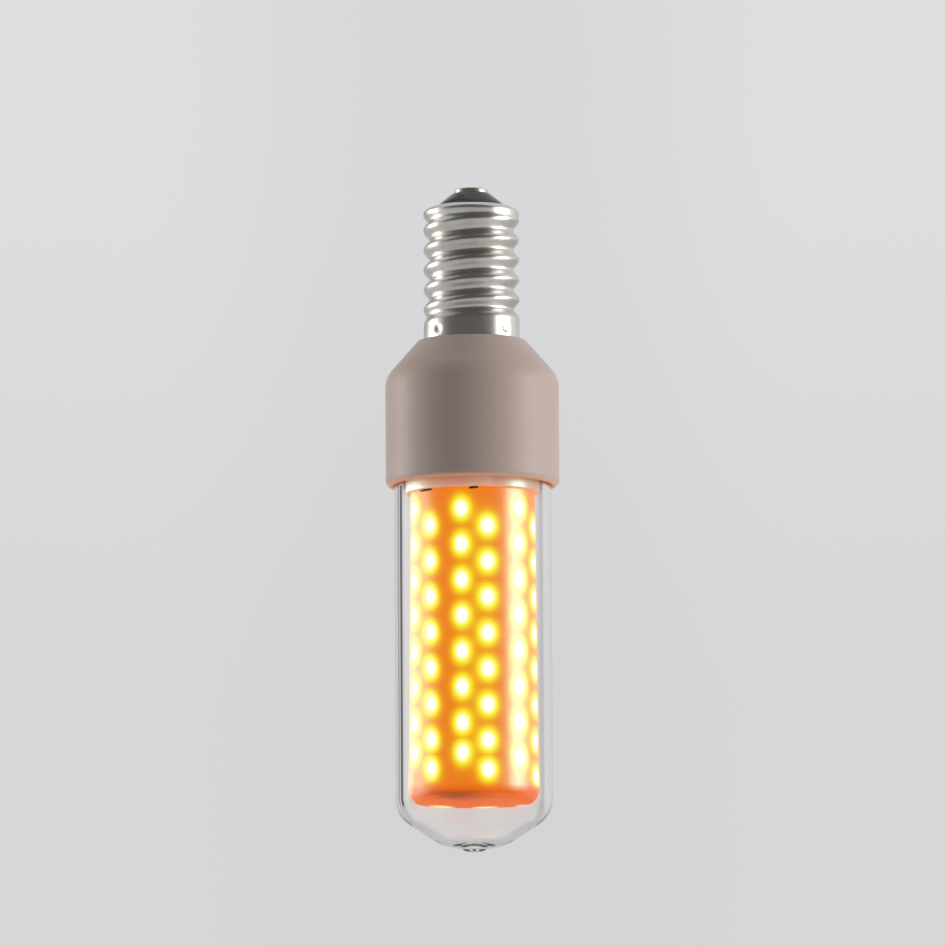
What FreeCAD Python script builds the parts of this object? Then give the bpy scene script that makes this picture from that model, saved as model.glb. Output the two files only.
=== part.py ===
"""Capsule LED bulb with an E14 screw cap, hanging cap up, in millimetres.

The origin is the middle of the centre contact's end face and +Z points out of that contact, so the whole
lamp lies below it. Angles round the lamp are counted from its front, -Y, towards +X. Every size stands
once in SIZES, and LEVELS are the heights that follow from them.
"""
import FreeCAD
import Part
import Sketcher
import os
import re

from FreeCAD import Placement, Rotation, Vector

# Driving dimensions

SIZES = {
    # screw cap, E14
    "contact_radius": 2.4,
    "contact_height": 1.0,
    "nose_ledge": 0.5,
    "nose_height": 1.9,
    "insulator_depth": 1.7,
    "shell_radius": 6.9,
    "shell_wall": 0.3,
    "shell_bevel": 0.4,
    "rim_turn": 1.7,
    "thread_depth": 0.8,
    "cap_length": 22.0,
    # moulded housing and collar
    "neck_drop": 6.1,
    "slot_gap": 0.2,
    "shoulder_ledge": 0.7,
    "taper_length": 5.2,
    "collar_wall": 1.1,
    "collar_height": 15.3,
    "collar_round": 0.9,
    # glass
    "glass_radius": 11.0,
    "glass_wall": 1.1,
    "glass_seat": 4.0,
    "glass_tube_length": 47.7,
    "knuckle_radius": 4.5,
    "dome_slope": 33.0,
    "tip_radius": 4.3,
    "tip_depth": 0.45,
    "pip_radius": 1.4,
    "pip_length": 0.3,
    "inside_depth": 0.9,
    # inner ring that carries the core
    "ring_gap": 0.55,
    "ring_lip": 0.5,
    "ring_drop": 1.2,
    "ring_length": 6.2,
    "core_socket": 2.2,
    "sleeve_socket": 1.6,
    # diffusing sleeve
    "sleeve_wall": 0.7,
    "sleeve_floor": 0.8,
    "sleeve_end_gap": 4.67,
    "sleeve_bevel": 0.5,
    "notch_width": 1.8,
    "notch_drop": 0.45,
    # lit core
    "spreader_wall": 1.1,
    "circuit_thickness": 0.2,
    "circuit_margin": 0.2,
    "led_length": 3.5,
    "led_height": 0.6,
    "led_edge": 0.576,
    "led_gap": 0.8,
    "led_clearance": 0.28,
    "led_first_row": 2.9,
    "led_last_row": 1.9,
    "led_stagger": 2.4,
    "led_pitch": 5.0,
    "led_spacing": 0.3,
    "plug_depth": 3.0,
    "plug_flange": 0.9,
    "plug_gap": 0.2,
    "plug_proud": 0.8,
    # driver
    "board_thickness": 0.8,
    "board_side_gap": 0.9,
    "capacitor_gap": 0.9,
    "capacitor_end_gap": 1.3,
    "capacitor_radius": 2.5,
    "inductor_width": 5.2,
    "inductor_height": 2.8,
    "inductor_rise": 2.4,
    "chip_width": 3.9,
    "chip_length": 4.9,
    "chip_height": 1.5,
    "chip_rise": 2.4,
    "bridge_width": 3.9,
    "bridge_length": 4.7,
    "bridge_height": 2.5,
    "bridge_rise": 0.5,
    "chip_resistor_width": 1.25,
    "chip_resistor_length": 2.0,
    "chip_resistor_height": 0.5,
    "chip_resistor_pitch": 2.2,
    "chip_resistor_drop": 0.5,
    "resistor_radius": 1.1,
    "resistor_length": 6.0,
    # leads
    "lead_radius": 0.5,
    "lead_rise": 1.0,
    "lead_drop": 0.75,
    "wire_radius": 0.3,
    "wire_pad": 1.6,
    "wire_drop": 1.2,
    # clearances
    "fit_gap": 0.05,
    "pocket_gap": 0.1,
}
CORE_SIDES = 6
POSITIVE_LEAD_ANGLE = 2.0
NEGATIVE_LEAD_ANGLE = -45.0
MITRED = 1

# Heights and radii that follow from the sizes

LEVELS = {
    "nose_top": "-contact_height",
    "nose_radius": "contact_radius + nose_ledge",
    "shell_top": "nose_top - nose_height",
    "shell_foot": "-cap_length",
    "bore_radius": "shell_radius - shell_wall",
    "rim_radius": "bore_radius - rim_turn",
    "insulator_foot": "shell_top - insulator_depth",
    "neck_top": "shell_top - neck_drop",
    "neck_radius": "bore_radius - thread_depth - fit_gap",
    "taper_foot": "shell_foot - taper_length",
    "collar_foot": "taper_foot - collar_height",
    "glass_top": "collar_foot + glass_seat",
    "seat_radius": "glass_radius + fit_gap",
    "glass_bore": "glass_radius - glass_wall",
    "collar_radius": "seat_radius + collar_wall",
    "shoulder_radius": "shell_radius + shoulder_ledge",
    "dome_top": "glass_top - glass_tube_length",
    "knuckle_line": "glass_radius - knuckle_radius",
    "tip_top": "dome_top - knuckle_radius * cos(dome_slope)"
               " - (knuckle_line + knuckle_radius * sin(dome_slope) - tip_radius) * tan(dome_slope)",
    "pip_end": "tip_top - tip_depth - pip_length",
    "inside_flat": "tip_radius - glass_wall * tan(dome_slope / 2)",
    "crown_inside": "tip_top + glass_wall",
    "ring_radius": "glass_bore - ring_gap",
    "ring_foot": "collar_foot - ring_drop",
    "ring_top": "ring_foot + ring_length",
    "ring_bore": "ring_radius + fit_gap",
    "socket_roof": "ring_foot + sleeve_socket",
    "core_roof": "socket_roof + core_socket",
    "socket_radius": "ring_radius - ring_lip",
    "sleeve_radius": "socket_radius - fit_gap",
    "sleeve_bore": "sleeve_radius - sleeve_wall",
    "sleeve_foot": "crown_inside + sleeve_end_gap",
    "spreader_foot": "sleeve_foot + sleeve_floor + plug_gap + plug_flange",
    "led_reach": "sleeve_bore - led_clearance",
    "led_slant": "led_height - led_edge * tan(30)",
    "circuit_apothem": "(sqrt(led_slant^2 - (1 + tan(30)^2) * (led_height^2 + led_edge^2 - led_reach^2))"
                       " - led_slant) / (1 + tan(30)^2)",
    "led_face": "circuit_apothem + led_height",
    "led_width": "circuit_apothem * tan(30) - led_edge - led_gap / 2",
    "led_offset": "(led_width + led_gap) / 2",
    "spreader_apothem": "circuit_apothem - circuit_thickness",
    "circuit_top": "socket_roof - pocket_gap",
    "circuit_foot": "spreader_foot + circuit_margin",
    "led_top_row": "ring_foot - led_first_row",
    "led_span": "led_top_row - led_stagger - circuit_foot - led_last_row",
    "lead_orbit": "sleeve_bore - lead_radius - pocket_gap",
    "board_face": "board_thickness / 2",
    "board_half_width": "ring_bore - board_side_gap",
    "board_neck_half": "neck_radius - board_side_gap / 3",
    "board_step": "taper_foot - pocket_gap",
    "parts_offset": "board_half_width / 2",
    "capacitor_line": "board_face + capacitor_radius",
    "capacitor_length": "taper_foot - ring_top - capacitor_end_gap",
    "capacitor_offset": "sqrt((ring_bore - capacitor_gap - capacitor_radius)^2 - capacitor_line^2)",
    "slot_depth": "2 * (resistor_radius + slot_gap)",
    "board_top": "neck_top - resistor_length + pocket_gap",
}

doc = FreeCAD.newDocument("CapsuleLedBulb")
sheets = {}


def fill_sheet(sheet_name, rows):
    """Write one row for each value, with its name beside it as the alias."""
    sheet = doc.addObject("Spreadsheet::Sheet", sheet_name)
    for row, (name, value) in enumerate(rows.items(), start=1):
        sheet.set("A%d" % row, name)
        sheet.set("B%d" % row, str(value))
        sheet.setAlias("B%d" % row, name)
        sheets[name] = sheet
    return sheet


def formula(text, sheet_name=None):
    """The same expression with each value's sheet put before its name."""
    def full_name(word):
        name = word.group()
        owner = sheets.get(name)
        if owner is None or owner.Name == sheet_name:
            return name
        return "%s.%s" % (owner.Name, name)
    return re.sub(r"[a-z][a-z_]*", full_name, text)


fill_sheet("Sizes", SIZES)
sheets.update({name: None for name in LEVELS})
levels = fill_sheet("Levels", {})
for row, (name, text) in enumerate(LEVELS.items(), start=1):
    levels.set("A%d" % row, name)
    levels.set("B%d" % row, "=" + formula(text, "Levels"))
    levels.setAlias("B%d" % row, name)
    sheets[name] = levels
doc.recompute()


def value(text):
    """What an expression of the two sheets comes to, as a plain number."""
    return float(levels.evalExpression(formula(text)))


# Ways of making a piece

def name_piece(piece, label):
    """Give a finished piece the name of its file."""
    piece.Label = label
    pieces.append(piece)
    return piece


pieces = []


def outline(body, name, corners, plane="XZ_Plane"):
    """A closed sketch of straight edges through corners whose coordinates are expressions."""
    sketch = body.newObject("Sketcher::SketchObject", name)
    support = [item for item in body.Origin.OriginFeatures if item.Role == plane][0]
    sketch.AttachmentSupport = [(support, "")]
    sketch.MapMode = "FlatFace"
    places = [Vector(value(x), value(z), 0) for x, z in corners]
    sketch.addGeometry([Part.LineSegment(start, end)
                        for start, end in zip(places, places[1:] + places[:1])], False)
    for index in range(len(corners)):
        sketch.addConstraint(Sketcher.Constraint("Coincident", index, 2, (index + 1) % len(corners), 1))
    for index, (corner, place) in enumerate(zip(corners, places)):
        bind(sketch, Sketcher.Constraint("DistanceX", -1, 1, index, 1, place.x), corner[0])
        bind(sketch, Sketcher.Constraint("DistanceY", -1, 1, index, 1, place.y), corner[1])
    return sketch


def bind(sketch, constraint, text):
    """Add a constraint and tie it to an expression of the sizes."""
    index = sketch.addConstraint(constraint)
    sketch.setExpression("Constraints[%d]" % index, formula(text))


def turned(name, corners):
    """A body turned about the lamp's axis from its section."""
    body = doc.addObject("PartDesign::Body", name)
    section = outline(body, name + "_section", corners)
    turn = body.newObject("PartDesign::Revolution", name + "_turn")
    turn.Profile = section
    turn.ReferenceAxis = (section, ["V_Axis"])
    turn.Angle = 360
    return body


def place(item, x, y, z):
    """Tie an item's place to expressions."""
    for axis, text in zip("xyz", (x, y, z)):
        item.setExpression("Placement.Base." + axis, formula(text))
    return item


def sized(item, **sizes):
    """Tie an item's own sizes to expressions."""
    for key, text in sizes.items():
        item.setExpression(key, formula(text))
    return item


def box(name, middle_x, low_y, low_z, width, depth, height):
    """A block centred on middle_x, standing on low_z, with its near side at low_y."""
    block = doc.addObject("Part::Box", name)
    sized(block, Length=width, Width=depth, Height=height)
    return place(block, "%s - (%s) / 2" % (middle_x, width), low_y, low_z)


def wire_run(name, route, radius):
    """A round wire along straight runs that meet in mitred corners."""
    points = [Vector(*[value(text) for text in stop]) for stop in route]
    path = Part.makePolygon(points)
    ring = Part.Wire(Part.makeCircle(value(radius), points[0], points[1] - points[0]))
    wire = doc.addObject("Part::Feature", name)
    wire.Shape = path.makePipeShell([ring], True, False, MITRED)
    return wire


def along_arc(centre_x, centre_z, radius, *angles):
    """Corners on an arc, one at each of the given angles in degrees."""
    return [("%s + %s * cos(%s)" % (centre_x, radius, angle),
             "%s + %s * sin(%s)" % (centre_z, radius, angle)) for angle in angles]


# Centre contact: a brass button on the insulator's nose

name_piece(turned("ContactButton", [
    ("0", "0"),
    ("contact_radius", "0"),
    ("contact_radius", "nose_top"),
    ("0", "nose_top"),
]), "centre_contact")

# Insulator: black glass, a cone outside the shell's mouth and a plug inside it

name_piece(turned("Insulator", [
    ("wire_radius + fit_gap", "nose_top"),
    ("nose_radius", "nose_top"),
    ("rim_radius - fit_gap", "shell_top"),
    ("rim_radius - fit_gap", "insulator_foot"),
    ("wire_radius + fit_gap", "insulator_foot"),
]), "cap_insulator")

# Screw shell: thin drawn sheet, as wide as its thread, with a turned-in rim

name_piece(turned("ScrewShell", [
    ("rim_radius", "shell_top"),
    ("shell_radius - shell_bevel", "shell_top"),
    ("shell_radius", "shell_top - shell_bevel"),
    ("shell_radius", "shell_foot"),
    ("bore_radius", "shell_foot"),
    ("bore_radius", "shell_top - shell_wall"),
    ("rim_radius", "shell_top - shell_wall"),
]), "cap_shell")

# Housing: one white moulding with a slotted neck inside the screw shell, a taper and the collar

housing = turned("Housing", [
    ("0", "neck_top"),
    ("neck_radius", "neck_top"),
    ("neck_radius", "shell_foot"),
    ("shoulder_radius", "shell_foot"),
    ("collar_radius", "taper_foot"),
    ("collar_radius", "collar_foot + collar_round"),
    ("collar_radius - collar_round", "collar_foot"),
    ("seat_radius", "collar_foot"),
    ("seat_radius", "glass_top"),
    ("ring_bore", "glass_top"),
    ("ring_bore", "taper_foot"),
    ("0", "taper_foot"),
])
slot = housing.newObject("PartDesign::SubtractiveBox", "BoardSlot")
sized(slot, Length="2 * neck_radius", Width="slot_depth", Height="neck_top - taper_foot")
place(slot, "-neck_radius", "-slot_depth / 2", "taper_foot")
name_piece(housing, "base_housing")

# Glass: a tube drawn in to a sloping dome, with a flattened tip and the low stub of its exhaust tube

name_piece(turned("Glass", [
    ("glass_radius", "glass_top"),
] + along_arc("knuckle_line", "dome_top", "knuckle_radius",
              "0", "(dome_slope - 90) / 2", "dome_slope - 90") + [
    ("tip_radius", "tip_top"),
    ("pip_radius", "tip_top - tip_depth"),
    ("pip_radius", "pip_end"),
    ("0", "pip_end"),
    ("0", "crown_inside"),
    ("inside_flat", "crown_inside"),
    ("glass_bore", "dome_top - inside_depth"),
    ("glass_bore", "glass_top"),
]), "glass_envelope")

# Inner ring: closes the housing, with sockets below for the core and the sleeve

ring = turned("CarrierRing", [
    ("0", "ring_top"),
    ("ring_radius", "ring_top"),
    ("ring_radius", "ring_foot"),
    ("socket_radius", "ring_foot"),
    ("socket_radius", "socket_roof"),
    ("0", "socket_roof"),
])
pocket = ring.newObject("PartDesign::SubtractivePrism", "CorePocket")
pocket.Polygon = CORE_SIDES
sized(pocket, Circumradius="(spreader_apothem + fit_gap) / cos(180 / %d)" % CORE_SIDES,
      Height="core_socket")
place(pocket, "0", "0", "socket_roof")


def front_slot(body, name, angle, width, inner, outer, low, high):
    """Cut a block through a body from radius inner to outer, turned from the front by an angle."""
    slot = body.newObject("PartDesign::SubtractiveBox", name)
    sized(slot, Length=width, Width="(%s) - (%s)" % (outer, inner), Height="(%s) - (%s)" % (high, low))
    slot.Placement = Placement(Vector(), Rotation(Vector(0, 0, 1), angle))
    across = "((%s) / 2)" % width
    reach = "(%s)" % outer
    place(slot, "%s * sin(%g) - %s * cos(%g)" % (reach, angle, across, angle),
          "-%s * cos(%g) - %s * sin(%g)" % (reach, angle, across, angle), low)


lead_angles = (("Positive", POSITIVE_LEAD_ANGLE), ("Negative", NEGATIVE_LEAD_ANGLE))
for pole, angle in lead_angles:
    front_slot(ring, pole + "LeadSlot", angle, "2 * (lead_radius + fit_gap)",
               "lead_orbit - lead_radius - fit_gap", "lead_orbit + lead_radius + fit_gap",
               "socket_roof", "ring_top")
name_piece(ring, "carrier_ring")

# Sleeve: a closed frosted thimble with a bevelled foot, and rim notches that clear the two leads

sleeve = turned("Sleeve", [
    ("sleeve_bore", "socket_roof"),
    ("sleeve_radius", "socket_roof"),
    ("sleeve_radius", "sleeve_foot + sleeve_bevel"),
    ("sleeve_radius - sleeve_bevel", "sleeve_foot"),
    ("0", "sleeve_foot"),
    ("0", "sleeve_foot + sleeve_floor"),
    ("sleeve_bore", "sleeve_foot + sleeve_floor"),
])
for pole, angle in lead_angles:
    front_slot(sleeve, pole + "LeadNotch", angle, "notch_width", "sleeve_bore - 2 * sleeve_wall",
               "sleeve_radius + sleeve_wall", "ring_foot - notch_drop", "socket_roof")
name_piece(sleeve, "diffuser_sleeve")

# Core: a six-sided aluminium tube wrapped in a folded circuit


def six_sided(name, apothem, low, height):
    """A six-sided bar about the lamp's axis, with one flat to the front."""
    bar = doc.addObject("Part::Prism", name)
    bar.Polygon = CORE_SIDES
    sized(bar, Circumradius="(%s) / cos(180 / %d)" % (apothem, CORE_SIDES), Height=height)
    return place(bar, "0", "0", low)


def six_sided_tube(name, apothem, wall, low, height):
    """A six-sided tube with walls of one thickness."""
    tube = doc.addObject("Part::Cut", name)
    tube.Base = six_sided(name + "Outside", apothem, low, height)
    tube.Tool = six_sided(name + "Inside", "%s - %s" % (apothem, wall), low, height)
    return tube


name_piece(six_sided_tube("Spreader", "spreader_apothem", "spreader_wall", "spreader_foot",
                          "core_roof - spreader_foot"), "heat_spreader")
name_piece(six_sided_tube("Circuit", "circuit_apothem", "circuit_thickness", "circuit_foot",
                          "circuit_top - circuit_foot"), "led_board")

plug = doc.addObject("Part::Fuse", "EndPlug")
plug.Base = six_sided("PlugStem", "spreader_apothem - spreader_wall - fit_gap", "spreader_foot",
                      "plug_depth")
plug.Tool = six_sided("PlugFlange", "spreader_apothem - spreader_wall + plug_proud",
                      "spreader_foot - plug_flange", "plug_flange")
name_piece(plug, "core_end_plug")

# LED packages: two staggered columns on each flat of the core, the last row set at the circuit's foot

full_rows = int(value("led_span / led_pitch"))
row_drops = ["led_pitch * %d" % row for row in range(full_rows + 1)]
if value("led_span - led_pitch * %d" % full_rows) >= value("led_length + led_spacing"):
    row_drops.append("led_span")
side_columns = []
for side, (column, middle, shift) in enumerate((("Left", "-led_offset", "0"),
                                                ("Right", "led_offset", "led_stagger"))):
    side_columns.append([
        box("%sPackage%d" % (column, row), middle, "-led_face",
            "led_top_row - %s - %s - led_length / 2" % (shift, drop),
            "led_width", "led_height", "led_length")
        for row, drop in enumerate(row_drops, start=1)
    ])
for number in range(2 * CORE_SIDES):
    column = doc.addObject("Part::Compound", "LedColumn%02d" % (number + 1))
    column.Links = side_columns[number % 2]
    column.Placement = Placement(Vector(), Rotation(Vector(0, 0, 1), 360 / CORE_SIDES * (number // 2)))
    name_piece(column, "led_column_%02d" % (number + 1))

# Driver board: T-shaped, standing on the ring with its narrow end up the neck

board = doc.addObject("PartDesign::Body", "DriverBoard")
board_outline = outline(board, "BoardOutline", [
    ("-board_half_width", "ring_top"),
    ("board_half_width", "ring_top"),
    ("board_half_width", "board_step"),
    ("board_neck_half", "board_step"),
    ("board_neck_half", "board_top"),
    ("-board_neck_half", "board_top"),
    ("-board_neck_half", "board_step"),
    ("-board_half_width", "board_step"),
])
board_pad = board.newObject("PartDesign::Pad", "BoardPad")
board_pad.Profile = board_outline
board_pad.SideType = "Symmetric"
sized(board_pad, Length="board_thickness")
name_piece(board, "driver_board")

# Parts on the driver board, the tall ones in the housing's wide end

capacitor = doc.addObject("Part::Cylinder", "Capacitor")
sized(capacitor, Radius="capacitor_radius", Height="capacitor_length")
place(capacitor, "-capacitor_offset", "capacitor_line", "ring_top")
name_piece(capacitor, "smoothing_capacitor")

name_piece(box("Choke", "-parts_offset", "-board_face - inductor_height", "ring_top + inductor_rise",
               "inductor_width", "inductor_height", "inductor_width"), "inductor")
name_piece(box("Chip", "parts_offset", "-board_face - chip_height", "ring_top + chip_rise",
               "chip_width", "chip_height", "chip_length"), "driver_chip")
name_piece(box("Bridge", "parts_offset", "board_face", "ring_top + bridge_rise",
               "bridge_width", "bridge_height", "bridge_length"), "bridge_rectifier")

resistors = doc.addObject("Part::Compound", "ChipResistors")
resistors.Links = [
    box("ChipResistor%d" % (number + 2), "parts_offset + chip_resistor_pitch * %d" % number, "board_face",
        "board_step - chip_resistor_drop - chip_resistor_length", "chip_resistor_width", "chip_resistor_height",
        "chip_resistor_length")
    for number in (-1, 0, 1)
]
name_piece(resistors, "smd_resistors")

fuse = doc.addObject("Part::Cylinder", "FuseBody")
sized(fuse, Radius="resistor_radius", Height="resistor_length")
place(fuse, "0", "0", "board_top")
name_piece(fuse, "fusible_resistor")

# Leads: bare wires to the cap, black sleeved ones through the ring to the core

name_piece(wire_run("LiveLead", [
    ("0", "0", "nose_top"),
    ("0", "0", "board_top + resistor_length"),
], "wire_radius"), "live_lead")

wire_line = "board_face + wire_radius"
wire_height = "board_top - wire_drop"
name_piece(wire_run("NeutralLead", [
    ("board_neck_half - wire_pad", wire_line, wire_height),
    ("sqrt(bore_radius^2 - (%s)^2) - fit_gap" % wire_line, wire_line, wire_height),
], "wire_radius"), "neutral_lead")

for pole, angle in lead_angles:
    lead_x = "lead_orbit * sin(%g)" % angle
    lead_y = "-lead_orbit * cos(%g)" % angle
    name_piece(wire_run(pole + "Lead", [
        (lead_x, "-board_face", "ring_top + lead_rise"),
        (lead_x, lead_y, "ring_top + lead_rise"),
        (lead_x, lead_y, "ring_foot - lead_drop"),
    ], "lead_radius"), "led_lead_" + pole.lower())

# Finish: check every object, then write one file for each piece

doc.recompute()
broken = [item.Name for item in doc.Objects if "Invalid" in item.State or "Error" in item.State]
if broken:
    raise RuntimeError("failed objects: " + ", ".join(broken))
os.makedirs("parts", exist_ok=True)
for piece in pieces:
    shape = piece.Shape
    if shape.isNull() or not shape.isValid():
        raise RuntimeError("bad shape: " + piece.Label)
    shape.exportStep("parts/%s.step" % piece.Label)
    print("%-22s %2d solid(s) %10.3f mm3" % (piece.Label, len(shape.Solids), shape.Volume))
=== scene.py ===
"""Capsule LED bulb, lit and hanging cap up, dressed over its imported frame. Metres, Z up, front towards -Y."""
import math

import bmesh
import bpy
from mathutils import Matrix, Vector


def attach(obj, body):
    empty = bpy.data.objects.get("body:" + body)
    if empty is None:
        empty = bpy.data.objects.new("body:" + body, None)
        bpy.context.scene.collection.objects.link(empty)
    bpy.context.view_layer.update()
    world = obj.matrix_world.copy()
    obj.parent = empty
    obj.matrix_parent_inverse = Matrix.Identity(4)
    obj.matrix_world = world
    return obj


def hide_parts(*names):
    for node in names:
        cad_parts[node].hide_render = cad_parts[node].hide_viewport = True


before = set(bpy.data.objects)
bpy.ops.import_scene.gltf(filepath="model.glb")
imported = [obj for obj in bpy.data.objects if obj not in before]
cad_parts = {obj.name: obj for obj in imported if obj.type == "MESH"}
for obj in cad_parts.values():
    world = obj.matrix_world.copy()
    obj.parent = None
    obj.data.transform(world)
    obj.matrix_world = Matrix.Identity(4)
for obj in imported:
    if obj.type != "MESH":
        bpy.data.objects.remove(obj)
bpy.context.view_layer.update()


# Centre contact. A stamped brass button, nickel plated, that closes the glass nose of the cap. The live
# wire comes up through its middle and ends in a low blob of solder.

MM = 0.001


def half_section(*corners, closed=True):
    """A half section as a wire, from (radius, height) or (radius, height, rounding) in millimetres."""
    mesh = bmesh.new()
    points = [mesh.verts.new((corner[0] * MM, 0, corner[1] * MM)) for corner in corners]
    for pair in zip(points, points[1:]):
        mesh.edges.new(pair)
    if closed and corners[0][0] > 0:
        mesh.edges.new((points[-1], points[0]))
    for corner, point in zip(corners, points):
        if len(corner) > 2:
            bmesh.ops.bevel(mesh, geom=[point], offset=corner[2] * MM, offset_type="OFFSET",
                            affect="VERTICES", segments=5, profile=0.5, material=-1)
    # A guard beside each end of a long edge keeps the smooth shading of its corners off the flat between.
    for edge in [edge for edge in mesh.edges if edge.calc_length() > 1.5 * MM]:
        near, far = edge.verts
        guard = 0.15 * MM / edge.calc_length()
        edge, middle = bmesh.utils.edge_split(edge, near, guard)
        rest = [link for link in middle.link_edges if far in link.verts][0]
        bmesh.utils.edge_split(rest, far, guard)
    return mesh


def turn(mesh, steps=96):
    """Turn a half section about the lamp's axis into a closed skin that faces outwards."""
    bmesh.ops.spin(mesh, geom=mesh.verts[:] + mesh.edges[:], axis=(0, 0, 1), cent=(0, 0, 0),
                   angle=math.tau, steps=steps, use_merge=True)
    bmesh.ops.remove_doubles(mesh, verts=mesh.verts, dist=0.002 * MM)
    bmesh.ops.recalc_face_normals(mesh, faces=mesh.faces)
    return mesh


def fit_piece(name, mesh, finish, slot, *nodes, crease=40):
    """Put a finished mesh on the lamp in its material, in place of the CAD nodes named."""
    data = bpy.data.meshes.new(name)
    mesh.to_mesh(data)
    mesh.free()
    data.materials.append(finish.owner)
    data.shade_smooth()
    data.set_sharp_from_angle(angle=math.radians(crease))
    item = bpy.data.objects.new(name, data)
    bpy.context.scene.collection.objects.link(item)
    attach(item, "root")
    if nodes:
        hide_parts(*nodes)
    return item


class Signal:
    """What comes out of a node, with Python's operators standing for Math nodes."""

    def __init__(self, finish, socket):
        self.finish = finish
        self.socket = socket

    def maths(self, operation, *others):
        return self.finish.node("ShaderNodeMath", {"operation": operation},
                                dict(enumerate((self,) + others)))

    def __add__(self, other):
        return self.maths("ADD", other)

    def __sub__(self, other):
        return self.maths("SUBTRACT", other)

    def __rsub__(self, other):
        return self.maths("MULTIPLY_ADD", -1.0, other)

    def __mul__(self, other):
        return self.maths("MULTIPLY", other)

    def __truediv__(self, other):
        return self.maths("DIVIDE", other)

    def __pow__(self, other):
        return self.maths("POWER", other)

    def ramp(self, low, high, start=0.0, end=1.0):
        """Carry low..high smoothly over to start..end, and hold the ends."""
        return self.finish.node("ShaderNodeMapRange", {"interpolation_type": "SMOOTHSTEP"},
                                {"Value": self, "From Min": low, "From Max": high,
                                 "To Min": start, "To Max": end})


class Finish:
    """A material, or the world, built up one node at a time."""

    def __init__(self, owner):
        self.owner = owner
        owner.use_nodes = True
        self.tree = owner.node_tree
        self.tree.nodes.clear()

    def node(self, kind, settings=None, sockets=None, out=0):
        item = self.tree.nodes.new(kind)
        for name, setting in (settings or {}).items():
            if name == "stops":
                stops = item.color_ramp.elements
                while len(stops) < len(setting):
                    stops.new(1.0)
                for stop, (position, shade) in zip(stops, setting):
                    stop.position, stop.color = position, shade
            else:
                setattr(item, name, setting)
        for name, source in (sockets or {}).items():
            if isinstance(source, Signal):
                self.tree.links.new(source.socket, item.inputs[name])
            else:
                item.inputs[name].default_value = source
        return Signal(self, item.outputs[out]) if len(item.outputs) else item

    def point(self):
        """Where on the lamp a point is, as a vector in metres."""
        return self.node("ShaderNodeTexCoord", out="Object")

    def axis(self, name):
        """Where on the lamp a point is along X, Y or Z, in millimetres."""
        return self.node("ShaderNodeSeparateXYZ", None, {0: self.point()}, "XYZ".index(name)) / MM

    def mix(self, amount, first, second):
        return self.node("ShaderNodeMix", {"data_type": "RGBA"}, {0: amount, 6: first, 7: second}, 2)

    def grain(self, scale, detail=2.0, stretch=None):
        """Soft noise of about 1/scale metres, drawn out along an axis where stretch is given."""
        point = self.point()
        if stretch:
            point = self.node("ShaderNodeMapping", None, {"Vector": point, "Scale": stretch})
        return self.node("ShaderNodeTexNoise", None,
                         {"Vector": point, "Scale": scale, "Detail": detail, "Roughness": 0.55})

    def bump(self, height, depth):
        """A relief of the given depth in millimetres."""
        return self.node("ShaderNodeBump", None,
                         {"Height": height, "Distance": depth * MM, "Strength": 1.0})

    def coat(self, **sockets):
        """The surface itself, from the Principled shader's sockets."""
        shader = self.node("ShaderNodeBsdfPrincipled", None,
                           {name.replace("_", " "): source for name, source in sockets.items()})
        self.node("ShaderNodeOutputMaterial", None, {"Surface": shader})


def new_finish(name):
    return Finish(bpy.data.materials.new(name))


def shade(red, green, blue):
    """A display colour, 0 to 255, as the linear colour that a socket takes."""
    return tuple((c / 255 / 12.92 if c <= 10 else ((c / 255 + 0.055) / 1.055) ** 2.4)
                 for c in (red, green, blue)) + (1.0,)


contact_metal = new_finish("tinned_brass")
x, y = (contact_metal.axis(name) for name in "XY")
reach = (x ** 2.0 + y ** 2.0) ** 0.5
turning = contact_metal.grain(9000.0)
solder = reach.ramp(0.75, 1.05, 1.0, 0.0)
contact_metal.coat(
    Base_Color=contact_metal.mix(solder, shade(214, 206, 190), shade(186, 186, 186)),
    Metallic=1.0,
    Roughness=contact_metal.grain(2500.0) * 0.18 + 0.22 + solder * 0.12,
    Normal=contact_metal.bump(turning + (reach * 14.0).maths("SINE") * 0.5, 0.01))

contact = turn(half_section(
    (0, -0.02), (0.55, -0.1, 0.25), (0.95, -0.3, 0.1), (1.7, -0.3, 0.3), (2.4, -0.42, 0.22), (2.4, -1.0),
    (0, -1.0)), 64)
fit_piece("contact_button", contact, contact_metal, "contact_metal", "centre_contact")


# Cap insulator. Black glass poured hot into the cap's end, so it is a glossy cone outside the shell's
# mouth and a plug inside it. The live wire passes through its middle.

black_glass = new_finish("black_cap_glass")
flow = black_glass.grain(700.0, 3.0)
black_glass.coat(
    Base_Color=black_glass.mix(flow, shade(16, 14, 18), shade(34, 28, 36)),
    Roughness=flow * 0.1 + 0.06,
    Normal=black_glass.bump(flow, 0.06))

insulator = turn(half_section(
    (0.35, -1.0), (2.62, -1.0, 0.12), (3.1, -1.35, 0.3), (4.45, -2.45, 0.3), (4.85, -2.9, 0.15),
    (4.85, -4.6, 0.2), (0.35, -4.6)))
fit_piece("cap_glass", insulator, black_glass, "black_glass", "cap_insulator")


# Screw shell. Thin brass sheet drawn to a cup with a turned-in rim, nickel plated, with a rolled thread of
# 2.82 mm pitch. Punched dimples round the skirt hold it on the housing's neck.

SHELL_RADIUS, SHEET = 6.75, 0.3
THREAD_PITCH, THREAD_DEPTH, CREST_HEIGHT = 2.822, 0.8, -16.1
THREAD_TOP, RUN_IN = -3.9, 1.6
THREAD_FOOT, RUN_OUT = -19.9, 2.4
DIMPLES, DIMPLE_HEIGHT, DIMPLE_DEPTH, DIMPLE_REACH = 4, -20.85, 0.25, 0.5

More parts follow.
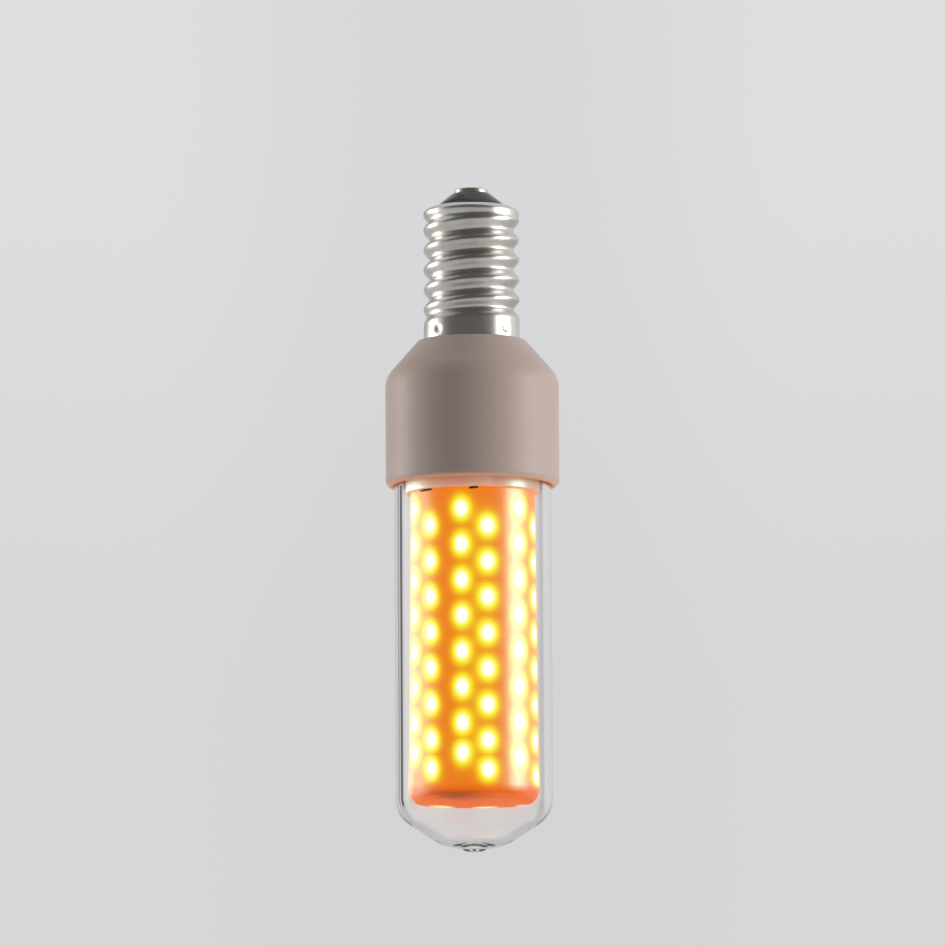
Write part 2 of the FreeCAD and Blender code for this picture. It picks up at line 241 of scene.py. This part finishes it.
nickel = new_finish("nickel_plate")
drawn = nickel.grain(1200.0, 4.0, (1.0, 1.0, 0.12))
stain = nickel.grain(160.0, 3.0)
nickel.coat(
    Base_Color=nickel.mix(stain.ramp(0.42, 0.75), shade(214, 211, 204), shade(186, 180, 168)),
    Metallic=1.0,
    Roughness=drawn * 0.16 + stain * 0.14 + 0.16,
    Normal=nickel.bump(drawn, 0.012))

shell = half_section(
    (4.9, -3.05), (5.75, -3.05, 0.2), (SHELL_RADIUS, -3.6, 0.3), (SHELL_RADIUS, -4.2),
    (SHELL_RADIUS, -21.85), closed=False)
wall = [edge for edge in shell.edges if edge.calc_length() > 10 * MM]
bmesh.ops.subdivide_edges(shell, edges=wall, cuts=120)
turn(shell, 144)
for vert in shell.verts:
    angle = math.atan2(vert.co.y, vert.co.x)
    height = vert.co.z / MM
    turns = (height - CREST_HEIGHT) / THREAD_PITCH - angle / math.tau
    fade = min(max((THREAD_TOP - height) / RUN_IN, 0.0), 1.0)
    fade *= min(max((height - THREAD_FOOT) / RUN_OUT, 0.0), 1.0)
    fade *= fade * (3.0 - 2.0 * fade)
    sink = THREAD_DEPTH * fade * (0.5 - 0.5 * math.cos(math.tau * turns))
    around = (angle / math.tau * DIMPLES) % 1.0 - 0.5
    away = math.hypot(around * math.tau / DIMPLES * SHELL_RADIUS, height - DIMPLE_HEIGHT)
    sink += DIMPLE_DEPTH * math.exp(-(away / DIMPLE_REACH) ** 2)
    radius = vert.co.xy.length
    if radius > 6 * MM:
        vert.co.xy *= 1 - sink * MM / radius
bmesh.ops.recalc_face_normals(shell, faces=shell.faces)
if sum(face.normal.dot(face.calc_center_median()) for face in shell.faces) < 0:
    bmesh.ops.reverse_faces(shell, faces=shell.faces)
bmesh.ops.solidify(shell, geom=shell.faces, thickness=SHEET * MM)
fit_piece("screw_shell", shell, nickel, "nickel_plate", "cap_shell", crease=60)


# Housing. One white heat-resistant moulding, finely textured: a slotted neck pressed into the screw shell,
# a taper below it, and the wide collar whose rounded edge grips the glass.

COLLAR, BOARD_SLOT = 12.15, 1.3

white_plastic = new_finish("white_housing_plastic")
z = white_plastic.axis("Z")
texture = white_plastic.grain(5200.0, 3.0)
tone = white_plastic.grain(90.0, 2.0)
# The orange glow on the lip is painted light, standing in for the sleeve's light falling on it through the
# glass.
painted_glow_lip = z.ramp(-42.5, -41.9, 1.0, 0.0)
white_plastic.coat(
    Base_Color=white_plastic.mix(tone, shade(210, 190, 178), shade(202, 180, 167)),
    Roughness=texture * 0.12 + 0.4,
    Specular_IOR_Level=0.4,
    Emission_Color=white_plastic.mix(painted_glow_lip, (0.0, 0.0, 0.0, 1.0), shade(150, 88, 48)),
    Emission_Strength=1.0,
    Normal=white_plastic.bump(texture, 0.02))


def cut_out(item, *blocks):
    """Cut blocks out of a piece, each (turn from the front, across, inner, outer, low, high) in mm."""
    cutter = bmesh.new()
    for angle, across, inner, outer, low, high in blocks:
        size = Matrix.Diagonal((across * MM, (outer - inner) * MM, (high - low) * MM, 1.0))
        middle = Matrix.Translation((0, -(inner + outer) / 2 * MM, (low + high) / 2 * MM))
        bmesh.ops.create_cube(cutter, size=1.0,
                              matrix=Matrix.Rotation(math.radians(angle), 4, "Z") @ middle @ size)
    subtract(item, cutter)


def subtract(item, cutter):
    """Take the space of a closed mesh out of a piece."""
    tool = bpy.data.objects.new("cutter", bpy.data.meshes.new("cutter"))
    cutter.to_mesh(tool.data)
    cutter.free()
    bpy.context.scene.collection.objects.link(tool)
    knife = item.modifiers.new("cut", "BOOLEAN")
    knife.operation, knife.solver, knife.object = "DIFFERENCE", "EXACT", tool
    depsgraph = bpy.context.evaluated_depsgraph_get()
    worked = bpy.data.meshes.new_from_object(item.evaluated_get(depsgraph))
    item.modifiers.remove(knife)
    bpy.data.objects.remove(tool)
    item.data = worked
    worked.set_sharp_from_angle(angle=math.radians(40))


housing = turn(half_section(
    (0, -9.0), (5.75, -9.0, 0.3), (5.75, -22.0), (7.6, -22.0, 0.15), (COLLAR, -27.2, 1.2),
    (COLLAR, -42.5, 0.85), (11.05, -42.5, 0.2), (11.05, -38.5), (9.45, -38.5), (9.45, -27.2), (0, -27.2)),
    128)
housing = fit_piece("housing_moulding", housing, white_plastic, "white_housing", "base_housing")
cut_out(housing, (0, 11.8, -BOARD_SLOT, BOARD_SLOT, -23.0, -8.9),
        (0, 14.0, -BOARD_SLOT, BOARD_SLOT, -27.3, -22.9))


# Glass. Soft clear tube drawn in the flame to a shallow dome with a tight knuckle, and tipped off at its
# middle, where the stub of the exhaust tube is left as a small pip. Its open end is bonded in the collar.

TUBE, BORE, DOME_TOP = 11.0, 9.9, -86.2
KNUCKLE, INNER_KNUCKLE, SLOPE = 4.5, 3.85, 33.0


def arc(centre_x, centre_z, radius, start, end, steps):
    """Points along an arc of a half section, by angles in degrees."""
    angles = [math.radians(start + (end - start) * step / steps) for step in range(steps + 1)]
    return [(centre_x + radius * math.cos(a), centre_z + radius * math.sin(a)) for a in angles]


clear_glass = new_finish("clear_glass")
clear_glass.coat(
    Base_Color=(0.988, 0.97, 0.962, 1.0),
    Roughness=0.0,
    IOR=1.47,
    Transmission_Weight=1.0)

glass = turn(half_section(
    (TUBE, -38.5, 0.4), *arc(TUBE - KNUCKLE, DOME_TOP, KNUCKLE, 0, SLOPE - 90, 24),
    (4.3, -93.0, 1.5), (1.75, -93.4, 0.3), (1.2, -93.74, 0.3), (0, -93.74), (0, -92.95), (0.5, -92.85, 0.2),
    (1.1, -92.6, 0.3), (3.9, -92.15, 1.0),
    *arc(BORE - INNER_KNUCKLE, DOME_TOP, INNER_KNUCKLE, SLOPE - 90, 0, 22), (BORE, -38.5, 0.4)), 160)
glass = fit_piece("glass_bulb", glass, clear_glass, "clear_glass", "glass_envelope", crease=60)
glass.visible_shadow = False
no_glass = bpy.data.collections.new("not_on_the_glass")
no_glass.objects.link(glass)
no_glass.collection_objects[0].light_linking.link_state = "EXCLUDE"


# Inner ring. A white moulding pressed into the housing from below. It closes the driver's space, holds the
# six-sided core in a pocket and the sleeve in a shallow rim, and lets the two leads through.

POCKET_REACH, POCKET_DEPTH = 6.386, 2.3

ring_plastic = new_finish("white_ring_plastic")
z = ring_plastic.axis("Z")
texture = ring_plastic.grain(4200.0, 2.0)
# The orange glow over the ring, strongest at its foot, is painted light from the sleeve beside it.
painted_glow_foot = z.ramp(-43.8, -40.8, 1.0, 0.25)
ring_plastic.coat(
    Base_Color=ring_plastic.mix(texture, shade(232, 222, 215), shade(224, 212, 203)),
    Roughness=texture * 0.1 + 0.3,
    Specular_IOR_Level=0.22,
    Emission_Color=ring_plastic.mix(painted_glow_foot, (0.0, 0.0, 0.0, 1.0), shade(160, 80, 28)),
    Emission_Strength=1.0,
    Normal=ring_plastic.bump(texture, 0.012))

ring = turn(half_section(
    (0, -37.5), (9.35, -37.5, 0.3), (9.35, -43.7, 0.25), (8.85, -43.7, 0.12), (8.85, -42.1), (0, -42.1)),
    128)
ring = fit_piece("inner_ring", ring, ring_plastic, "white_ring", "carrier_ring")
cut_out(ring, *[(angle, 1.1, 6.95, 8.05, -42.2, -37.4) for angle in (2.0, -45.0)])
pocket = bmesh.new()
corner_reach = POCKET_REACH / math.cos(math.pi / 6) * MM
bmesh.ops.create_cone(
    pocket, cap_ends=True, segments=6, radius1=corner_reach, radius2=corner_reach,
    depth=POCKET_DEPTH * MM,
    matrix=Matrix.Translation((0, 0, -41.05 * MM)) @ Matrix.Rotation(math.pi / 6, 4, "Z"))
subtract(ring, pocket)


# Diffusing sleeve. A frosted thimble of heat-proof resin, slightly wider at its closed foot than at its
# rim, that blends the bright packages behind it into an orange glow. Two rim notches clear the leads.

SLEEVE_GIRTH = 8.9
FLAT_TURN = math.pi / 3
ROW_PITCH, EVEN_ROWS = 5.0, 7.0
LEAD_BEARINGS = (0.9, -46.6)

orange = new_finish("frosted_orange_sleeve")
x, y, z = (orange.axis(name) for name in "XYZ")
bearing = x.maths("ARCTAN2", y * -1.0)
# The columns of spots stay upright although the sleeve widens, and those at the sides sit a little
# higher. The last row is out of step with the others.
z = z - bearing.maths("ABSOLUTE").ramp(0.35, 0.8) * 0.4
inward = x.ramp(-1.0, 1.0, 0.126, 0.046) - (z + 47.0) * 0.0024
bearing = bearing + bearing.maths("SINE") * inward
spots = []
for turn_angle, first_row, last_row in ((-11.7, -46.7, -80.85), (14.0, -49.15, -83.2)):
    along = (bearing / FLAT_TURN - turn_angle / 60.0).maths("WRAP", 0.5, -0.5)
    along = along * (FLAT_TURN * SLEEVE_GIRTH)
    rows = (first_row - z) / ROW_PITCH
    nearest = rows.maths("ROUND").maths("MAXIMUM", 0.0).maths("MINIMUM", EVEN_ROWS - 1.0)
    off_row = (rows - nearest) * ROW_PITCH
    off_last = (z - last_row + bearing.ramp(0.5, 0.85) * 0.9).maths("ABSOLUTE")
    off = off_row.maths("ABSOLUTE").maths("MINIMUM", off_last) * 0.87
    spots.append(((along ** 2.0 + off ** 2.0) * -0.5).maths("EXPONENT"))
flats = (bearing * 6.0).maths("COSINE") * 0.5 + 0.5
lit_length = z.ramp(-86.0, -81.0) * z.ramp(-43.5, -48.0)
drive = spots[0] + spots[1] + flats * lit_length * 0.04
glow = orange.node("ShaderNodeValToRGB", {"stops": [
    (0.0, shade(230, 118, 4)), (0.08, shade(232, 142, 10)), (0.19, shade(236, 176, 16)),
    (0.3, shade(242, 212, 24)), (0.45, shade(246, 238, 54)), (0.655, shade(252, 253, 156)),
    (0.795, shade(255, 255, 250))]}, {"Fac": drive})
frost = orange.grain(3000.0, 3.0)
foot = z.ramp(-86.3, -84.9, 1.0, 0.0)
glow = orange.mix(foot, glow, shade(228, 98, 0))
# A darker patch at the front of the foot is painted shade in the glow.
painted_shade_patch = (((x + 2.4) * 0.24) ** 2.0 + ((y + 8.2) * 0.25) ** 2.0 + ((z + 86.65) * 1.8) ** 2.0) * -1.0
glow = orange.mix(painted_shade_patch.maths("EXPONENT") * 0.95, glow, shade(146, 58, 0))
reach = (x ** 2.0 + y ** 2.0) ** 0.5
# Bright arcs at the back of the foot's rim are a painted highlight of light leaking at its edge.
painted_leak_highlight = reach.ramp(4.0, 6.0) * y.ramp(1.0, 3.5) * (x * 1.02).maths("SINE").ramp(-0.8, 0.9)
glow = orange.mix(painted_leak_highlight * z.ramp(-86.3, -86.7), glow, shade(255, 234, 160))
orange.coat(
    Base_Color=orange.mix(frost, shade(84, 44, 14), shade(72, 38, 10)),
    Roughness=frost * 0.08 + 0.26,
    Specular_IOR_Level=0.27,
    Emission_Color=glow,
    Emission_Strength=1.1,
    Normal=orange.bump(frost, 0.015))

sleeve = turn(half_section(
    (8.05, -42.1), (8.72, -42.1, 0.12), (8.78, -52.0), (8.9, -64.0), (9.05, -80.5), (9.2, -85.2, 0.25),
    (8.9, -86.1, 0.3), (8.1, -86.95, 0.3), (0, -87.1), (0, -86.2), (8.0, -86.2, 0.2)), 144)
sleeve = fit_piece("sleeve", sleeve, orange, "orange_diffuser", "diffuser_sleeve")
cut_out(sleeve, *[(bearing, across, 6.7, 9.5, -43.95, -42.0)
                  for bearing, across in zip(LEAD_BEARINGS, (1.2, 2.2))])


# Lit core. A six-sided aluminium tube carries the heat away, a thin white circuit is folded round it, and
# two staggered columns of yellow phosphor packages are soldered to each flat. A plug closes its foot.


def dress(finish, *names):
    """Give CAD nodes their material."""
    for name in names:
        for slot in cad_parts[name].material_slots:
            slot.material = finish.owner


aluminium = new_finish("drawn_aluminium")
drawn = aluminium.grain(2600.0, 3.0, (1.0, 1.0, 0.04))
aluminium.coat(
    Base_Color=aluminium.mix(drawn, shade(206, 208, 210), shade(188, 190, 193)),
    Metallic=1.0,
    Roughness=drawn * 0.2 + 0.28,
    Normal=aluminium.bump(drawn, 0.01))
dress(aluminium, "heat_spreader")

white_circuit = new_finish("white_circuit_film")
z = white_circuit.axis("Z")
track = (z * 2.4).maths("SINE").ramp(0.86, 0.95)
speck = white_circuit.grain(1800.0)
white_circuit.coat(
    Base_Color=white_circuit.mix(track, shade(236, 236, 232), shade(222, 220, 212)),
    Roughness=speck * 0.1 + 0.38,
    Normal=white_circuit.bump(track + speck * 0.2, 0.02))
dress(white_circuit, "led_board")

phosphor = new_finish("yellow_phosphor")
cloud = phosphor.grain(1600.0, 3.0)
phosphor.coat(
    Base_Color=phosphor.mix(cloud, shade(246, 206, 74), shade(240, 184, 48)),
    Roughness=cloud * 0.15 + 0.3,
    Emission_Color=phosphor.mix(cloud, shade(255, 236, 150), shade(255, 220, 110)),
    Emission_Strength=1.0)
dress(phosphor, *["led_column_%02d" % number for number in range(1, 13)])

white_nylon = new_finish("white_nylon")
speck = white_nylon.grain(2400.0)
white_nylon.coat(
    Base_Color=white_nylon.mix(speck, shade(228, 226, 220), shade(218, 214, 206)),
    Roughness=speck * 0.12 + 0.4,
    Normal=white_nylon.bump(speck, 0.015))
dress(white_nylon, "core_end_plug")


# Driver. A T-shaped glass-fibre board under green resist stands on the ring with its narrow end up the
# neck, and carries the rectifier, capacitor, choke, control chip, chip resistors and fusible resistor.

green_board = new_finish("green_resist_board")
x, z = (green_board.axis(name) for name in "XZ")
weave = (x * 9.0).maths("SINE") * (z * 9.0).maths("SINE")
tracks = (x * 2.1).maths("SINE").maths("ABSOLUTE").ramp(0.9, 0.97)
green_board.coat(
    Base_Color=green_board.mix(tracks * 0.6, shade(24, 96, 52), shade(48, 128, 66)),
    Roughness=weave * 0.05 + 0.32,
    Normal=green_board.bump(weave * 0.3 + tracks, 0.02))
dress(green_board, "driver_board")

black_resin = new_finish("black_epoxy")
speck = black_resin.grain(5000.0)
black_resin.coat(
    Base_Color=black_resin.mix(speck, shade(28, 28, 30), shade(42, 42, 44)),
    Roughness=speck * 0.15 + 0.5,
    Normal=black_resin.bump(speck, 0.02))
dress(black_resin, "bridge_rectifier", "driver_chip", "inductor")

sleeved_can = new_finish("capacitor_jacket")
z = sleeved_can.axis("Z")
cap_end = z.ramp(-28.9, -28.6)
wrinkle = sleeved_can.grain(900.0, 2.0, (1.0, 1.0, 0.2))
sleeved_can.coat(
    Base_Color=sleeved_can.mix(cap_end, shade(30, 34, 46), shade(196, 196, 198)),
    Metallic=cap_end,
    Roughness=wrinkle * 0.15 + 0.3,
    Normal=sleeved_can.bump(wrinkle, 0.03))
dress(sleeved_can, "smoothing_capacitor")

resistor_lacquer = new_finish("resistor_lacquer")
orange_peel = resistor_lacquer.grain(1500.0)
resistor_lacquer.coat(
    Base_Color=resistor_lacquer.mix(orange_peel, shade(120, 150, 176), shade(108, 138, 166)),
    Roughness=orange_peel * 0.1 + 0.3,
    Normal=resistor_lacquer.bump(orange_peel, 0.03))
dress(resistor_lacquer, "fusible_resistor")

chip_ceramic = new_finish("chip_resistor_ceramic")
z = chip_ceramic.axis("Z")
ends = (z + 28.8).maths("ABSOLUTE").ramp(0.68, 0.74)
chip_ceramic.coat(
    Base_Color=chip_ceramic.mix(ends, shade(26, 26, 28), shade(200, 200, 202)),
    Metallic=ends,
    Roughness=chip_ceramic.grain(3000.0) * 0.15 + 0.35)
dress(chip_ceramic, "smd_resistors")


# Leads. Bare tinned wires join the driver to the contact and the screw shell. Two thin wires in black
# sleeving run down through the ring to the lit core. Black blobs in the sleeve's notches stand for these
# leads and paint the shade in those gaps.

tinned_wire = new_finish("tinned_wire")
dull = tinned_wire.grain(3500.0)
tinned_wire.coat(
    Base_Color=tinned_wire.mix(dull, shade(206, 206, 204), shade(180, 180, 178)),
    Metallic=1.0,
    Roughness=dull * 0.2 + 0.25)
dress(tinned_wire, "live_lead", "neutral_lead")

black_sleeving = new_finish("black_silicone_sleeving")
dust = black_sleeving.grain(2200.0)
black_sleeving.coat(
    Base_Color=black_sleeving.mix(dust, shade(14, 13, 13), shade(30, 28, 26)),
    Roughness=dust * 0.2 + 0.5,
    Specular_IOR_Level=0.25,
    Normal=black_sleeving.bump(dust, 0.02))
dress(black_sleeving, "led_lead_positive", "led_lead_negative")

# The black blobs in the sleeve's notches stand for the leads seen there and paint the shade in those gaps.
notch_shade_blobs = bmesh.new()
for bearing, length, lean in zip(LEAD_BEARINGS, (1.5, 2.6), (11.0, 2.0)):
    bmesh.ops.create_uvsphere(notch_shade_blobs, u_segments=24, v_segments=12, radius=0.5, matrix=(
        Matrix.Rotation(math.radians(bearing), 4, "Z") @ Matrix.Translation((0, -8.5 * MM, -43.82 * MM))
        @ Matrix.Rotation(math.radians(-lean), 4, "Y")
        @ Matrix.Diagonal((length * MM, 0.85 * MM, 0.4 * MM, 1.0))))
fit_piece("lead_and_notch_shade", notch_shade_blobs, black_sleeving, "black_sleeving")


# Studio. A plain pale floor well below the lamp, a pale surround with darker sides, a softbox on each
# side, and the camera a little under the lamp, looking up at it.

FLOOR_HEIGHT, FLOOR_REACH = -0.35, 3.0
LAMP_DISTANCE, LAMP_HEIGHT = 0.6, -0.04
EYE, AIM, ROLL = (0.0, -1.2477, -0.2159), (0.0, 0.0, -0.0405), -0.3

floor_finish = new_finish("pale_floor")
mottle = floor_finish.grain(30.0)


def seen_directly(finish):
    """1 for rays from the eye, straight or by way of glass or gloss, and 0 for those that only light."""
    seen = finish.node("ShaderNodeLightPath", out="Is Camera Ray")
    for kind in ("Is Glossy Ray", "Is Transmission Ray"):
        seen = seen.maths("MAXIMUM", finish.node("ShaderNodeLightPath", out=kind))
    return seen


# What is mirrored inside the glass is a dark floor, so that the sleeve's foot keeps its colour.
mirrored = floor_finish.node("ShaderNodeLightPath", out="Glossy Depth").maths("MINIMUM", 1.0)
inside = floor_finish.node("ShaderNodeLightPath", out="Transmission Depth").ramp(2.9, 3.1)
pale = floor_finish.mix(mottle, shade(150, 150, 151), shade(144, 144, 145))
shown = seen_directly(floor_finish) * (1.0 - mirrored * (inside * 0.85 + 0.15))
floor_finish.coat(
    Base_Color=floor_finish.mix(mirrored * inside, pale, shade(30, 30, 31)),
    Roughness=mottle * 0.1 + 0.8,
    Emission_Color=floor_finish.mix(shown, (0.0, 0.0, 0.0, 1.0), shade(172, 172, 174)),
    Emission_Strength=1.0)
floor_mesh = bmesh.new()
bmesh.ops.create_grid(floor_mesh, x_segments=1, y_segments=1, size=FLOOR_REACH,
                      matrix=Matrix.Translation((0, 0, FLOOR_HEIGHT)))
floor_data = bpy.data.meshes.new("floor")
floor_mesh.to_mesh(floor_data)
floor_mesh.free()
floor_data.materials.append(floor_finish.owner)
floor = bpy.data.objects.new("floor", floor_data)
bpy.context.scene.collection.objects.link(floor)

# The eye sees a plain backdrop. Bands of dark and grey behind the lamp draw the edges of its glass, and
# what is mirrored has darker sides too.
surround = Finish(bpy.context.scene.world or bpy.data.worlds.new("surround"))
bpy.context.scene.world = surround.owner
direction = surround.node("ShaderNodeTexCoord", out="Generated")
x, y, z = [surround.node("ShaderNodeSeparateXYZ", None, {0: direction}, axis) for axis in range(3)]
aside = x.maths("ARCTAN2", y) * math.degrees(1.0)
backdrop = surround.mix(z.ramp(0.11, 0.18), shade(215, 215, 216), shade(221, 222, 224))
backdrop = surround.mix(aside.maths("ABSOLUTE").ramp(0.5, 2.2, 0.45, 0.0), backdrop,
                        shade(209, 209, 211))
mirrored = surround.node("ShaderNodeLightPath", out="Glossy Depth").maths("MINIMUM", 1.0)
left_dark = aside.ramp(-43.5, -41.5) * aside.ramp(-35.0, -33.0, 1.0, 0.0)
left_grey = aside.ramp(-33.0, -29.0) * aside.ramp(-25.0, -20.0, 1.0, 0.0)
right_grey = aside.ramp(11.0, 19.0) * aside.ramp(26.0, 33.0, 1.0, 0.0)
bands = surround.mix(left_dark, backdrop, shade(4, 4, 5))
bands = surround.mix(left_grey, bands, shade(176, 176, 178))
bands = surround.mix(right_grey * (1.0 - mirrored), bands, shade(150, 150, 153))
front = x.maths("ARCTAN2", y * -1.0) * math.degrees(1.0)
left_side = front.ramp(-55.0, -105.0)
right_side = front.ramp(50.0, 95.0)
sides = surround.mix(left_side + right_side, shade(92, 92, 94), shade(240, 240, 242))
behind = aside.maths("ABSOLUTE").ramp(44.0, 60.0, 1.0, 0.0)
sides = surround.mix(behind, sides, bands)
inside = surround.node("ShaderNodeLightPath", out="Transmission Depth").ramp(2.9, 3.1)
sides = surround.mix(inside * z.ramp(0.01, -0.01) * y.ramp(0.0, 0.2), sides, shade(30, 30, 31))
from_eye = surround.node("ShaderNodeLightPath", out="Is Camera Ray")
sky = surround.mix(seen_directly(surround), shade(158, 158, 160), bands)
sky = surround.mix(mirrored, sky, sides)
sky = surround.mix(from_eye, sky, backdrop)
light = surround.node("ShaderNodeBackground", None, {"Color": sky, "Strength": 1.0})
surround.node("ShaderNodeOutputWorld", None, {"Surface": light})


def softbox(name, bearing, width, power, lights=None, tint=(1.0, 1.0, 1.0)):
    """An upright area lamp at a bearing in degrees from the front towards +X, facing the bulb.

    It lights everything but the glass, or only makes highlights on the pieces given."""
    lamp = bpy.data.lights.new(name, "AREA")
    lamp.shape, lamp.size, lamp.size_y, lamp.energy = "RECTANGLE", width, 0.5, power
    lamp.color = tint
    item = bpy.data.objects.new(name, lamp)
    turned = math.radians(bearing)
    item.location = (LAMP_DISTANCE * math.sin(turned), -LAMP_DISTANCE * math.cos(turned), LAMP_HEIGHT)
    item.rotation_euler = (math.pi / 2, 0, turned)
    item.light_linking.receiver_collection = lights or no_glass
    item.visible_diffuse = lights is None
    bpy.context.scene.collection.objects.link(item)


glazed = bpy.data.collections.new("behind_the_glass")
glazed.objects.link(sleeve)
glazed.objects.link(ring)
softbox("left_softbox", -105, 0.2, 1.8)
softbox("right_softbox", 80, 0.35, 2.4)
softbox("left_strip", -120, 0.42, 34.0, glazed, (0.45, 1.0, 0.8))
softbox("right_strip", 82, 0.24, 34.0, glazed, (0.45, 1.0, 0.8))

lens = bpy.data.cameras.new("camera")
lens.sensor_width, lens.lens, lens.clip_end = 36.0, 343.1, 20.0
camera = bpy.data.objects.new("camera", lens)
bpy.context.scene.collection.objects.link(camera)
camera.location = EYE
sight = Vector(AIM) - camera.location
camera.rotation_euler = (sight.to_track_quat("-Z", "Y").to_matrix()
                         @ Matrix.Rotation(math.radians(ROLL), 3, "Z")).to_euler()
bpy.context.scene.camera = camera
bpy.context.scene.view_settings.view_transform = "Standard"
